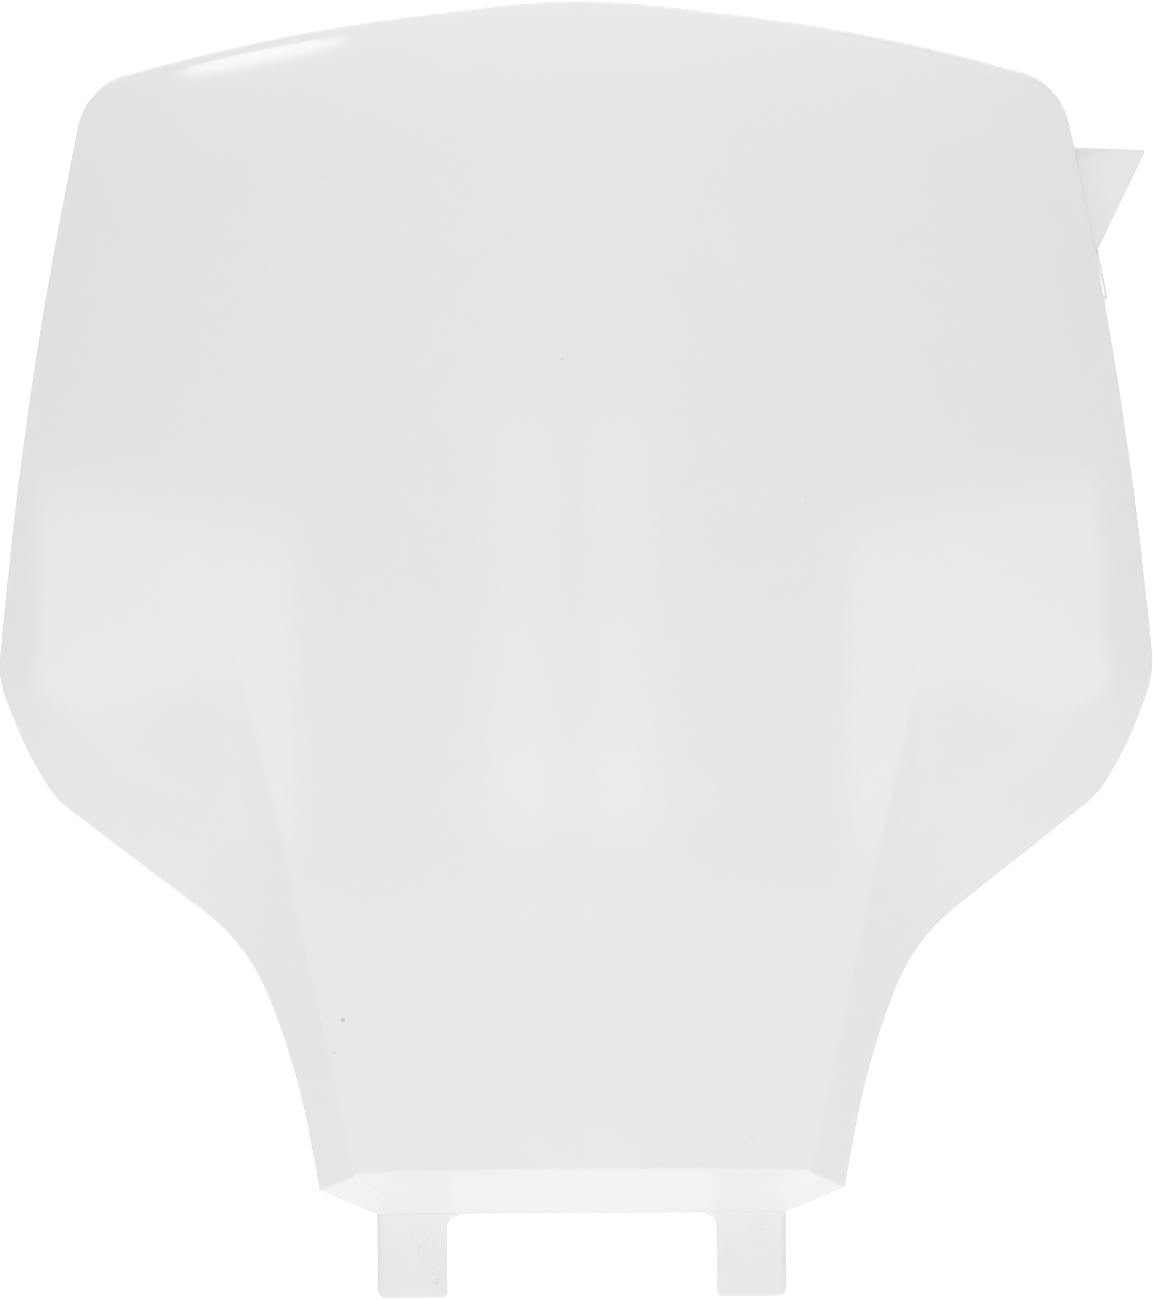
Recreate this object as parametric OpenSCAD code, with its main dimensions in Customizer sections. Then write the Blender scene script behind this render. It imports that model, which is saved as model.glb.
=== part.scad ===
// Racing number board: the front number plate of an off-road motorbike, one moulding.
// Sizes are in millimetres. The middle of the fixing hole is at the origin, the front
// of the board faces -Y and its crest points up, +Z. "Ahead" is distance towards -Y.

/* [Outline] */
// height of the crest above the fixing hole
crest_z = 46.5; // [44:0.1:49]
// rounding of the crest
crest_r = 150; // [120:5:160]
// half width out to the bend in each top edge
top_bend_x = 62; // [58:0.5:66]
// height of the bend in each top edge
top_bend_z = 39.9; // [39:0.1:40.4]
// radius of the bend in each top edge
top_bend_r = 500; // [300:10:560]
// half width at the shoulders, before they are rounded
shoulder_x = 101.5; // [98:0.5:104]
// height of the shoulders, before they are rounded
shoulder_z = 31.1; // [28:0.1:32]
// rounding of the shoulders
shoulder_r = 14; // [8:0.5:16]
// half width at the middle of the long bowed sides
side_x = 114.3; // [114:0.1:116]
// height of the middle of the long bowed sides
side_z = -37; // [-40:0.5:-34]
// radius of the long bowed sides
side_r = 880; // [700:10:900]
// half width at the widest corners, before they are rounded
widest_x = 120.3; // [119:0.1:122]
// height of the widest corners
widest_z = -92.5; // [-95:0.5:-91]
// rounding of the widest corners
widest_r = 20; // [12:1:24]
// half width of the bend below the widest corners
wing_x = 113.9; // [113.5:0.1:115]
// height of the bend below the widest corners
wing_z = -108; // [-109:0.1:-107]
// rounding of the bend below the widest corners
wing_r = 56; // [40:1:60]
// half width at the lower corner of each wing
wing_tip_x = 108.1; // [106.5:0.1:108.5]
// height of the lower corner of each wing
wing_tip_z = -117.5; // [-118.5:0.1:-117]
// rounding of the lower corner of each wing
wing_tip_r = 17; // [10:1:20]
// half width of the hollow corner between wing and chin
neck_x = 67.9; // [66:0.1:69]
// height of the hollow corner between wing and chin
neck_z = -147; // [-149:0.5:-145]
// rounding of the hollow corner between wing and chin
neck_r = 40; // [30:1:41]
// half width at the bend of the chin side
chin_x = 58.2; // [57.5:0.1:59]
// height of the bend of the chin side
chin_z = -171.7; // [-173:0.1:-171]
// radius of the bend of the chin side
chin_r = 136; // [100:1:138]
// half width at the bottom corners of the chin
chin_foot_x = 53.6; // [52:0.1:54]
// height of the bottom corners of the chin
chin_foot_z = -196.9; // [-198:0.1:-195.5]

/* [Curved face] */
// how far the fullest point of the face stands ahead of the fixing hole
face_ahead = 34; // [30:0.5:38]
// height of the fullest point of the face
face_z = -107; // [-112:1:-100]
// radius of the curve from side to side
dish_r = 180; // [165:1:200]
// radius of the curve from crest to chin
bow_r = 640; // [560:10:760]
// thickness of the moulding
wall = 2.2; // [1.8:0.1:2.6]
// width of the band under the top edge that leans back
top_band_w = 24; // [18:1:30]
// how far the top edge leans back behind the rest of the face
top_band_back = 2.4; // [1:0.1:3.5]
// width of the band along each lower wing edge that leans back
wing_band_w = 19; // [14:1:24]
// how far each lower wing edge leans back
wing_band_back = 6; // [3:0.5:8]
// slope at which the lower part of each wing leans back
wing_lean = 0.11; // [0.06:0.01:0.15]
// height over which the wing turns into that slope
wing_lean_in = 12; // [8:1:20]
// how much lower the lean begins at the wing's outer edge than at the crease
wing_lean_drop = 20; // [10:1:26]
// height where each crease begins
crease_top_z = -72; // [-78:1:-68]
// half distance between the creases at their upper ends
crease_top_x = 73.3; // [71:0.1:75]
// half distance between the creases at the bottom of the chin
crease_foot_x = 45.5; // [44:0.1:46.5]
// how far each crease bows towards the middle of the board
crease_bow = 0.75; // [0:0.05:1.2]
// slope of the facet that falls back from each crease
facet_slope = 0.9; // [0.7:0.05:1.1]
// how far the bottom of the chin turns forward
chin_flare = 1.4; // [0:0.1:2]
// height of the flared area at the middle of the chin
chin_flare_h = 17.5; // [14:0.5:20]
// half width of the flared area
chin_flare_x = 43.5; // [36:0.5:46]

/* [Rim] */
// rounding of the rim along the top
top_rim_r = 3; // [2:0.1:3.6]
// rounding of the rim down the sides and round the wings
side_rim_r = 1.3; // [0.9:0.1:1.8]
// how deep the turned back edge is
rim_deep = 7; // [5:0.5:9]
// height above the chin's bottom corners at which the turned back edge reaches that depth
rim_deep_h = 45; // [35:1:60]

/* [Ledge under the chin] */
// height of the middle of the chin's bottom edge above its corners
ledge_front_up = 5.4; // [4.4:0.1:6.4]
// height of the lower ends of the creases above those corners
crease_foot_up = 4.1; // [3.2:0.1:4.3]
// how far the rear edge of the ledge lies below the chin's bottom corners
ledge_drop = 5.5; // [4:0.1:7]
// how far the ledge's rear corners stand out beyond the tabs
ledge_corner_out = 0.5; // [0:0.1:1]
// how far ahead of the fixing hole the rear edge of the ledge is
ledge_rear_ahead = 6; // [3:0.5:9]
// rounding of the ledge edges
ledge_rim_r = 0.8; // [0.5:0.1:1]

/* [Tabs] */
// distance from the middle of the board to the inner edge of a tab
tab_inner_x = 27.6; // [26:0.1:29]
// distance from the middle of the board to the outer edge of a tab
tab_outer_x = 42; // [40:0.1:44]
// how far the tabs reach below the ledge
tab_h = 17.3; // [14:0.1:22]
// depth of the edge turned back along the outside of a tab
tab_return = 6; // [4:0.5:9]
// rounding where a tab meets the ledge on the inside
tab_root_r = 2.8; // [1:0.1:3.5]
// rounding of the bend along the outside of a tab
tab_bend_r = 1.5; // [0.8:0.1:1.8]
// rounding of the outer bottom corner of a tab
tab_outer_r = 1.6; // [1:0.1:3.5]
// rounding of the inner bottom corner of a tab
tab_inner_r = 0.9; // [0.4:0.1:2]

/* [Fixing lug] */
// radius of the fixing hole, for an M6 screw
hole_r = 3.25; // [2.8:0.05:3.6]
// half width of the lug, which is round about the hole
lug_r = 13; // [11:0.5:15]
// thickness of the lug
lug_h = 4; // [3:0.1:5]
// height of the two ribs under the lug
lug_rib_h = 20; // [14:0.5:26]
// thickness of the ribs under the lug
lug_rib_w = 2; // [1.6:0.1:2.6]

/* [Hose guide] */
// height of the top of the hose guide
guide_top_z = 17.4; // [16:0.1:19]
// distance from the middle of the board to the tip of the guide
guide_tip_x = 119.1; // [116:0.1:119.4]
// height of the guide's triangular wing
guide_wing_h = 21.5; // [19:0.1:23]
// height of the whole guide, with the strip below its wing
guide_h = 32.5; // [29:0.5:35]
// how far the strip below the wing stands out from the rim
strip_out = 1; // [0.8:0.05:1.4]
// width of the slot between that strip and the rim
strip_slot = 0.5; // [0.3:0.05:0.7]
// thickness of the guide's wing
guide_w = 2; // [1.6:0.1:2.4]
// how far the guide's wing stands behind the front of the rim
guide_set_back = 2.6; // [1.8:0.1:3.2]
// radius of the hose loop behind the wing
hose_r = 5; // [4:0.1:5.2]
// height of the hose loop
hose_loop_h = 3.4; // [2.4:0.1:4]

/* [Parts] */
// which part to draw

/* [Hidden] */
$fn = 64;

// longest step along a bend, along a straight and across the middle of the face
bend_step = 7;
straight_step = 7;
middle_columns = 18;
// columns on the facet, the shares of the wing that they may cover, and their reach
// for each millimetre that the facet is wide
facet_columns = 3;
facet_least = 0.12;
facet_most = 0.6;
facet_reach = 1.8;
// shares of the wing between the facet and the rim where columns stand
wing_columns = [0.14, 0.3, 0.47, 0.64, 0.79, 0.9, 0.97, 1];
// how tightly the facet turns into the wing behind it
facet_turn = 4;

// heights of the ledge's front and rear edges
ledge_front_z = chin_foot_z + ledge_front_up;
ledge_rear_z = chin_foot_z - ledge_drop;

// unit vector
function unit(v) = v / norm(v);
// a value held between two others
function held(v, low, high) = min(high, max(low, v));

// sweep of the bend at corner p between neighbours a and b, and where it starts and ends
function bend_turn(a, p, b) = 180 - acos(held(unit(a - p) * unit(b - p), -1, 1));
function bend_reach(a, p, b, r) = r * tan(bend_turn(a, p, b) / 2);
function bend_start(a, p, b, r) = p + unit(a - p) * bend_reach(a, p, b, r);
function bend_end(a, p, b, r) = p + unit(b - p) * bend_reach(a, p, b, r);
function bend_middle(a, p, b, r) =
    p + unit(unit(a - p) + unit(b - p)) * r / cos(bend_turn(a, p, b) / 2);
// points of the bend from share f0 to share f1 of its sweep
function bend(a, p, b, r, f0 = 0, f1 = 1, step = bend_step) =
    let (m = bend_middle(a, p, b, r))
    let (s = bend_start(a, p, b, r) - m)
    let (e = bend_end(a, p, b, r) - m)
    let (way = sign(s.x * e.y - s.y * e.x))
    let (turn = bend_turn(a, p, b) * way)
    let (n = max(ceil(abs(turn) * (f1 - f0) / 14), ceil(r * abs(turn) * PI / 180 * (f1 - f0) / step)))
    [for (i = [0 : n])
        let (g = turn * (f0 + (f1 - f0) * i / n))
        m + [s.x * cos(g) - s.y * sin(g), s.x * sin(g) + s.y * cos(g)]];
// points between a and b, without either end
function between(a, b, step = straight_step) =
    let (n = max(1, round(norm(b - a) / step)))
    [for (i = [1 : 1 : n - 1]) a + (b - a) * i / n];
function last(list) = list[len(list) - 1];
// runs of points joined by straights
function joined(runs, step = straight_step, i = 0) =
    i == len(runs) - 1 ? runs[i] :
    concat(runs[i], between(last(runs[i]), runs[i + 1][0], step), joined(runs, step, i + 1));

// corners of the right half outline, from the chin up to the crest
foot = [chin_foot_x, chin_foot_z];
chin = [chin_x, chin_z];
neck = [neck_x, neck_z];
wing_tip = [wing_tip_x, wing_tip_z];
wing = [wing_x, wing_z];
widest = [widest_x, widest_z];
side = [side_x, side_z];
shoulder = [shoulder_x, shoulder_z];
top_bend = [top_bend_x, top_bend_z];
crest = [0, crest_z];
top_bend_left = [-top_bend_x, top_bend_z];

// points up the right side, from the chin corner to the middle of the shoulder
side_path = joined([
    [foot],
    bend(foot, chin, neck, chin_r),
    bend(chin, neck, wing_tip, neck_r),
    bend(neck, wing_tip, wing, wing_tip_r),
    bend(wing_tip, wing, widest, wing_r),
    bend(wing, widest, side, widest_r, 0, 1, 2),
    bend(widest, side, shoulder, side_r),
    bend(side, shoulder, top_bend, shoulder_r, 0, 0.5)
]);
// points along the right half of the top, finer, from the shoulder to the crest
top_path = joined([
    bend(side, shoulder, top_bend, shoulder_r, 0.5, 1, 1),
    bend(shoulder, top_bend, crest, top_bend_r, 0, 1, 3),
    bend(top_bend, crest, top_bend_left, crest_r, 0, 0.5, 3)
], 3);
// the same, from the crest outwards, so that the height can be looked up
top_table = [for (i = [len(top_path) - 1 : -1 : 0]) top_path[i]];
function top_z(x) = lookup(abs(x), top_table);

// half width of the board at height z, below the shoulders
side_table = [for (p = side_path) [p.y, p.x]];
function rim_x(z) = lookup(z, side_table);

// half distance between the creases at height z
function crease_x(z) =
    let (f = held((z - chin_foot_z) / (crease_top_z - chin_foot_z), 0, 1))
    crease_foot_x + (crease_top_x - crease_foot_x) * f - crease_bow * 4 * f * (1 - f);
// how far the wing stands back at a place on it: its lean, and the band along its straight
// lower edge
edge_way = unit(wing_tip - neck);
wing_out = widest_x - crease_top_x;
function wing_back(x, z) =
    let (out = max(x - crease_x(z), 0))
    let (below = max(crease_top_z - wing_lean_drop * pow(out / wing_out, 2) - z, 0))
    let (in = (z - neck_z) * edge_way.x - (x - neck_x) * edge_way.y)
    let (f = held(1 - in / wing_band_w, 0, 1.1))
    wing_lean * below * below / (below + wing_lean_in) + wing_band_back * f * f;

// what each feature takes off the face at a place on it
function wing_cut(x, z) =
    let (back = max(wing_back(x, z), 0.000001))
    let (f = facet_slope * max(x - crease_x(z), 0) / back)
    back * f / pow(1 + pow(f, facet_turn), 1 / facet_turn);
function top_band_cut(x, z) =
    let (f = held(1 - (top_z(x) - z) / top_band_w, 0, 1.2))
    top_band_back * f * f;
function chin_flare_add(x, z) =
    let (top = ledge_front_z + chin_flare_h * (1 - pow(x / chin_flare_x, 2)))
    let (f = held((top - z) / chin_flare_h, 0, 1.2))
    chin_flare * f * f;

// how far ahead of the fixing hole the face is at x, z
function ahead(x, z) =
    let (w = abs(x))
    face_ahead - (dish_r - sqrt(dish_r * dish_r - w * w)) - pow(z - face_z, 2) / (2 * bow_r)
    - wing_cut(w, z) - top_band_cut(w, z) + chin_flare_add(w, z);
function face_point(x, z) = [x, -ahead(x, z), z];
// direction the face looks at x, z
function face_normal(x, z) =
    let (d = 0.4)
    unit([
        -(ahead(x + d, z) - ahead(x - d, z)) / (2 * d),
        -1,
        -(ahead(x, z + d) - ahead(x, z - d)) / (2 * d)
    ]);

// rounding of the rim where the outline looks towards n
function rim_r(n) = side_rim_r + (top_rim_r - side_rim_r) * pow(max(0, n.y), 2);
// place where the face stops and the rounding of the rim begins
function rim_start(p, n) =
    let (look = face_normal(p.x, p.y))
    let (out = n.x * look.x + n.y * look.z)
    let (lean = out * abs(look.y) / sqrt(1 - out * out))
    p - n * rim_r(n) * (1 - lean);

// outward directions along the side path
side_way = [for (i = [0 : len(side_path) - 1])
    let (a = side_path[max(0, i - 1)])
    let (b = side_path[min(len(side_path) - 1, i + 1)])
    let (t = unit(b - a))
    [t.y, -t.x]];
side_edge = [for (i = [0 : len(side_path) - 1]) rim_start(side_path[i], side_way[i])];
rows = len(side_edge);
side_top = side_edge[rows - 1];

// where the columns stand in a row whose half width is w, at height z
function column_x(w, z) =
    let (above = w * crease_top_x / rim_x(crease_top_z))
    let (c = z > crease_top_z ? above : min(crease_x(z), w - 3))
    let (facet_w = wing_back(c, z) / facet_slope)
    let (s = held(facet_reach * facet_w, facet_least * (w - c), facet_most * (w - c)))
    concat(
        [for (i = [1 : middle_columns / 2]) c * 2 * i / middle_columns],
        [for (i = [1 : facet_columns]) c + s * i / facet_columns],
        [for (f = wing_columns) c + s + (w - c - s) * f]
    );
half_columns = middle_columns / 2 + facet_columns + len(wing_columns);
columns = 2 * half_columns + 1;
function across(w, z) =
    let (half = column_x(w, z))
    concat([for (i = [half_columns - 1 : -1 : 0]) -half[i]], [0], half);

// the bottom edge of the chin and the top edge of the face, column by column
foot_edge = side_edge[0];
foot_across = across(foot_edge.x, foot_edge.y);
foot_ahead = ahead(0, ledge_front_z);
foot_lift = [for (x = foot_across)
    let (w = abs(x))
    w < crease_foot_x ?
        ledge_front_up - (ledge_front_up - crease_foot_up) * pow(w / crease_foot_x, 2) :
        crease_foot_up * (foot_edge.x - w) / (foot_edge.x - crease_foot_x)];
top_across = across(side_top.x, side_top.y);
top_edge = [for (x = top_across)
    let (w = abs(x))
    let (t = unit([0.6, top_z(w + 0.3) - top_z(w - 0.3)]))
    let (e = rim_start([w, top_z(w)], [-t.y, t.x]))
    w > side_top.x - 0.01 ? [x, side_top.y] : [x < 0 ? -e.x : e.x, e.y]];

// share of the lift of the top and bottom edges that a row takes
lift_down_z = -22;
lift_up_z = neck_z - 10;
function top_share(z) = held((z - lift_down_z) / (side_top.y - lift_down_z), 0, 1);
function foot_share(z) = held((lift_up_z - z) / (lift_up_z - foot_edge.y), 0, 1);

// the face, row by row from the chin's bottom edge to the top edge
face_flat = [for (i = [0 : rows - 1])
    let (w = side_edge[i].x)
    let (z = side_edge[i].y)
    let (xs = across(w, z))
    [for (j = [0 : columns - 1])
        i == rows - 1 ? top_edge[j] :
        [xs[j], z + foot_lift[j] * foot_share(z) + (top_edge[j].y - side_top.y) * top_share(z)]]];
face_rows = [for (row = face_flat) [for (p = row) face_point(p.x, p.y)]];
face_ways = [for (row = face_flat) [for (p = row) face_normal(p.x, p.y)]];

// the ledge, row by row from its rear edge to just behind the chin's bottom edge
ledge_rows_n = 3;
ledge_edge_x = tab_outer_x + ledge_corner_out - ledge_rim_r;
ledge_rear = [for (x = foot_across)
    [x / foot_edge.x * ledge_edge_x, -ledge_rear_ahead, ledge_rear_z]];
ledge_rows = [for (i = [0 : ledge_rows_n - 1])
    [for (j = [0 : columns - 1])
        ledge_rear[j] + (face_rows[0][j] - ledge_rear[j]) * i / ledge_rows_n]];
ledge_way = unit([0, ledge_rear_z - ledge_front_z, ledge_rear_ahead - foot_ahead]);

skin = concat(ledge_rows, face_rows);
// way from the front skin to the back skin, longer where two faces share an edge
inward = concat(
    [for (row = ledge_rows) [for (p = row) -ledge_way]],
    [[for (n = face_ways[0]) -(n + ledge_way) / (1 + n * ledge_way)]],
    [for (i = [1 : rows - 1]) [for (n = face_ways[i]) -n]]
);
all_rows = len(skin);
back_skin = [for (i = [0 : all_rows - 1]) [for (j = [0 : columns - 1]) skin[i][j] + inward[i][j] * wall]];

// the places round the edge, as row and column, once round
edge_places = concat(
    [for (j = [0 : columns - 2]) [0, j]],
    [for (i = [0 : all_rows - 2]) [i, columns - 1]],
    [for (j = [columns - 1 : -1 : 1]) [all_rows - 1, j]],
    [for (i = [all_rows - 1 : -1 : 1]) [i, 0]]
);
edge_n = len(edge_places);
function edge_skin(k) = skin[edge_places[(k + edge_n) % edge_n][0]][edge_places[(k + edge_n) % edge_n][1]];
// depth of the turned back edge at height z, none on the ledge
function edge_deep(z) = wall + (rim_deep - wall) * held((z - chin_foot_z) / rim_deep_h, 0, 1);

// four more points for each place on the edge: two round the rim, then the two
// corners of the turned back edge
edge_rings = [for (k = [0 : edge_n - 1])
    let (row = edge_places[k][0])
    let (column = edge_places[k][1])
    let (e = skin[row][column])
    let (look = unit(-inward[row][column]))
    let (out = unit(cross(edge_skin(k + 1) - edge_skin(k - 1), look)))
    let (flat = [out.x, out.z])
    let (on_ledge = row < ledge_rows_n)
    let (r = on_ledge ? ledge_rim_r : row == ledge_rows_n ? (ledge_rim_r + side_rim_r) / 2 : rim_r(unit(flat)))
    let (lean = on_ledge ? 0 : asin(held(out.y, 0, 0.9)))
    let (turn = 90 - lean)
    let (mid = e + out * r * sin(turn / 2) - look * r * (1 - cos(turn / 2)))
    let (end = e + out * r * sin(turn) - look * r * (1 - cos(turn)))
    let (root = back_skin[row][column])
    let (outer = on_ledge ? e + out * r - look * wall : end + [0, edge_deep(e.z), 0])
    let (inner = on_ledge ? (outer + root) / 2 : [root.x, outer.y, root.z])
    [mid, end, outer, inner]];

// points: front skin, back skin, then the rings
function skin_at(i, j) = i * columns + j;
function back_at(i, j) = (all_rows + i) * columns + j;
function ring_at(ring, k) = 2 * all_rows * columns + ring * edge_n + k % edge_n;
function front_edge_at(k) = skin_at(edge_places[k % edge_n][0], edge_places[k % edge_n][1]);
function back_edge_at(k) = back_at(edge_places[k % edge_n][0], edge_places[k % edge_n][1]);
function two(a, b, c, d) = [[a, b, c], [a, c, d]];
shell_points = concat(
    [for (row = skin) for (p = row) p],
    [for (row = back_skin) for (p = row) p],
    [for (ring = [0 : 3]) for (k = [0 : edge_n - 1]) edge_rings[k][ring]]
);
shell_faces = [
    for (i = [0 : all_rows - 2]) for (j = [0 : columns - 2])
        for (t = two(skin_at(i, j), skin_at(i + 1, j), skin_at(i + 1, j + 1), skin_at(i, j + 1))) t,
    for (i = [0 : all_rows - 2]) for (j = [0 : columns - 2])
        for (t = two(back_at(i, j), back_at(i, j + 1), back_at(i + 1, j + 1), back_at(i + 1, j))) t,
    for (k = [0 : edge_n - 1])
        for (t = two(front_edge_at(k), front_edge_at(k + 1), ring_at(0, k + 1), ring_at(0, k))) t,
    for (ring = [0 : 2]) for (k = [0 : edge_n - 1])
        for (t = two(ring_at(ring, k), ring_at(ring, k + 1), ring_at(ring + 1, k + 1), ring_at(ring + 1, k))) t,
    for (k = [0 : edge_n - 1])
        for (t = two(ring_at(3, k), ring_at(3, k + 1), back_edge_at(k + 1), back_edge_at(k))) t
];

module shell() {
    polyhedron(points = shell_points, faces = shell_faces, convexity = 6);
}

// one locating tab, on the right; its edge is turned back along the outside
tab_front = -ledge_rear_ahead + 0.2;
tab_low = ledge_rear_z - tab_h;
tab_top = ledge_rear_z + 1.5;
module tab_front_view() {
    difference() {
        union() {
            translate([tab_inner_x, tab_low]) square([tab_outer_x - tab_inner_x, tab_top - tab_low]);
            translate([tab_inner_x - tab_root_r, ledge_rear_z - tab_root_r])
                square([tab_root_r + 1, tab_top - ledge_rear_z + tab_root_r]);
        }
        translate([tab_inner_x - tab_root_r, ledge_rear_z - tab_root_r]) circle(tab_root_r);
        difference() {
            translate([tab_outer_x - tab_outer_r, tab_low - 1]) square([tab_outer_r + 1, tab_outer_r + 1]);
            translate([tab_outer_x - tab_outer_r, tab_low + tab_outer_r]) circle(tab_outer_r);
        }
        difference() {
            translate([tab_inner_x - 1, tab_low - 1]) square([tab_inner_r + 1, tab_inner_r + 1]);
            translate([tab_inner_x + tab_inner_r, tab_low + tab_inner_r]) circle(tab_inner_r);
        }
    }
}
module tab_section() {
    difference() {
        translate([tab_inner_x - tab_root_r - 1, 0])
            square([tab_outer_x - tab_inner_x + tab_root_r + 1, tab_return]);
        translate([tab_inner_x - tab_root_r - 2, wall])
            square([tab_outer_x - tab_inner_x + tab_root_r + 2 - wall, tab_return]);
        difference() {
            translate([tab_outer_x - tab_bend_r, -1]) square([tab_bend_r + 1, tab_bend_r + 1]);
            translate([tab_outer_x - tab_bend_r, tab_bend_r]) circle(tab_bend_r);
        }
    }
}
module tab() {
    intersection() {
        translate([0, tab_front + tab_return + 1, 0]) rotate([90, 0, 0])
            linear_extrude(tab_return + 2) tab_front_view();
        translate([0, tab_front, tab_low - 1]) linear_extrude(tab_h + 4) tab_section();
    }
}

// the lug behind the board that takes the fixing screw, with two ribs below it
function inside_y(x, z) = -ahead(x, z) + wall / 2;
rib_x = lug_r * 0.7;
rib_toe = 1;
rib_low_z = -lug_h / 2 - lug_rib_h;
module lug() {
    translate([0, 0, -lug_h / 2]) linear_extrude(lug_h) union() {
        circle(lug_r);
        translate([-lug_r, inside_y(0, 0)]) square([2 * lug_r, -inside_y(0, 0)]);
    }
}
module lug_rib(x) {
    translate([x - lug_rib_w / 2, 0, 0]) rotate([90, 0, 90]) linear_extrude(lug_rib_w) polygon([
        [inside_y(x, 0), 0],
        [-hole_r, 0],
        [inside_y(x, rib_low_z) + wall / 2 + rib_toe, rib_low_z],
        [inside_y(x, rib_low_z), rib_low_z]
    ]);
}

// the hose guide on the board's left, the viewer's right
guide_foot_z = guide_top_z - guide_wing_h;
guide_low_z = guide_top_z - guide_h;
guide_back = -ahead(rim_x(guide_top_z), guide_top_z) + guide_set_back;
// how far the guide is let into the rim, and how thick the ends of the slot are
guide_sunk = 1;
slot_end = 0.6;
// cut corner at the tip of the wing
tip_cut = 0.5;
tip_drop = 0.55;
// thin lip in front of the top of the wing, which tapers away outwards
lip_h = 0.8;
lip_ahead = 0.7;
lip_long = 9;
lip_down = 0.05;
// the loop's wall, its place behind the wing, and the gap that the hose snaps in through
loop_wall = 1.8;
loop_in = 1.2;
loop_down = 0.9;
loop_behind = 0.15;
loop_gap = hose_r * 1.24;
loop_gap_turn = 20;
loop_x = guide_tip_x - loop_in - hose_r - loop_wall;
loop_y = guide_back + loop_behind + loop_wall + hose_r;
module guide_wing() {
    translate([0, guide_back + guide_w, 0]) rotate([90, 0, 0]) linear_extrude(guide_w) difference() {
        polygon([
            [rim_x(guide_top_z) - guide_sunk, guide_top_z],
            [guide_tip_x - tip_cut, guide_top_z - tip_drop],
            [guide_tip_x, guide_top_z - tip_drop - tip_cut],
            [rim_x(guide_foot_z) + strip_out, guide_foot_z],
            [rim_x(guide_low_z) + strip_out, guide_low_z + strip_out],
            [rim_x(guide_low_z), guide_low_z],
            [rim_x(guide_low_z) - guide_sunk, guide_low_z]
        ]);
        polygon([
            [rim_x(guide_foot_z) + strip_slot, guide_foot_z - slot_end],
            [rim_x(guide_low_z) + strip_slot, guide_low_z + strip_out + slot_end],
            [rim_x(guide_low_z) - guide_sunk / 2, guide_low_z + strip_out + slot_end],
            [rim_x(guide_foot_z) - guide_sunk / 2, guide_foot_z - slot_end]
        ]);
    }
}
module guide_lip() {
    lip_top = guide_top_z - lip_down;
    intersection() {
        translate([0, guide_back + guide_w / 4, 0]) rotate([90, 0, 0]) linear_extrude(guide_w) polygon([
            [rim_x(guide_top_z) - guide_sunk, lip_top],
            [rim_x(guide_top_z) + lip_long, lip_top - tip_drop],
            [rim_x(guide_top_z) - guide_sunk, lip_top - lip_h]
        ]);
        translate([0, 0, lip_top - 2 * lip_h]) linear_extrude(3 * lip_h) polygon([
            [rim_x(guide_top_z) - guide_sunk, guide_back - lip_ahead],
            [rim_x(guide_top_z) + lip_long, guide_back],
            [rim_x(guide_top_z) + lip_long, guide_back + guide_w / 4],
            [rim_x(guide_top_z) - guide_sunk, guide_back + guide_w / 4]
        ]);
    }
}
module hose_loop() {
    low = guide_top_z - loop_down - hose_loop_h;
    translate([loop_x, loop_y, low]) linear_extrude(hose_loop_h) difference() {
        circle(hose_r + loop_wall);
        circle(hose_r);
        rotate(loop_gap_turn) translate([0, -loop_gap / 2]) square([3 * hose_r, loop_gap]);
    }
}

module number_plate() {
    color([0.93, 0.93, 0.93]) difference() {
        union() {
            shell();
            tab();
            mirror([1, 0, 0]) tab();
            lug();
            lug_rib(rib_x);
            lug_rib(-rib_x);
            guide_wing();
            guide_lip();
            hose_loop();
        }
        translate([0, 0, -lug_h]) cylinder(r = hole_r, h = 2 * lug_h);
    }
}

number_plate();
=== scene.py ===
import math

import bmesh
import bpy
import mathutils
import numpy as np
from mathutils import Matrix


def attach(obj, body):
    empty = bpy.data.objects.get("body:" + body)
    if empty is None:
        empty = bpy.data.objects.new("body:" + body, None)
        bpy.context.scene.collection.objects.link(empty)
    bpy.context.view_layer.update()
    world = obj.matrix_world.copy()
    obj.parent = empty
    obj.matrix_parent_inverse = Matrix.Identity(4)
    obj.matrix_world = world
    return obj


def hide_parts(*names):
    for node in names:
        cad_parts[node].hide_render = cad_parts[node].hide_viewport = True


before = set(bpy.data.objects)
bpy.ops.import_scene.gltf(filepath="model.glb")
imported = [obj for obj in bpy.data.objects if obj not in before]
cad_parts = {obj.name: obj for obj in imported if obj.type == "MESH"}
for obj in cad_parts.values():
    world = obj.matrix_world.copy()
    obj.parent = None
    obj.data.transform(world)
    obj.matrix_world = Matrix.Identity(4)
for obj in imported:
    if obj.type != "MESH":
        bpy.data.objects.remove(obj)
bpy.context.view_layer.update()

# The board itself. On the real plate the face, the turned back rim and the ledge under the
# chin are one moulded sheet of polypropylene, glossy outside and plain inside. Its sizes are
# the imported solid's, in millimetres: x across, z up, and "ahead" towards the front.
mm = 0.001
crest = (0, 46.5)
crest_r = 150
top_bend = (62, 39.9)
top_bend_r = 500
shoulder = (101.5, 31.1)
shoulder_r = 14
side = (114.3, -37)
side_r = 880
widest = (120.3, -92.5)
widest_r = 20
wing = (113.9, -108)
wing_r = 56
wing_tip = (108.1, -117.5)
wing_tip_r = 17
neck = (67.9, -147)
neck_r = 40
chin = (58.2, -171.7)
chin_r = 136
foot = (53.6, -196.9)

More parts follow.
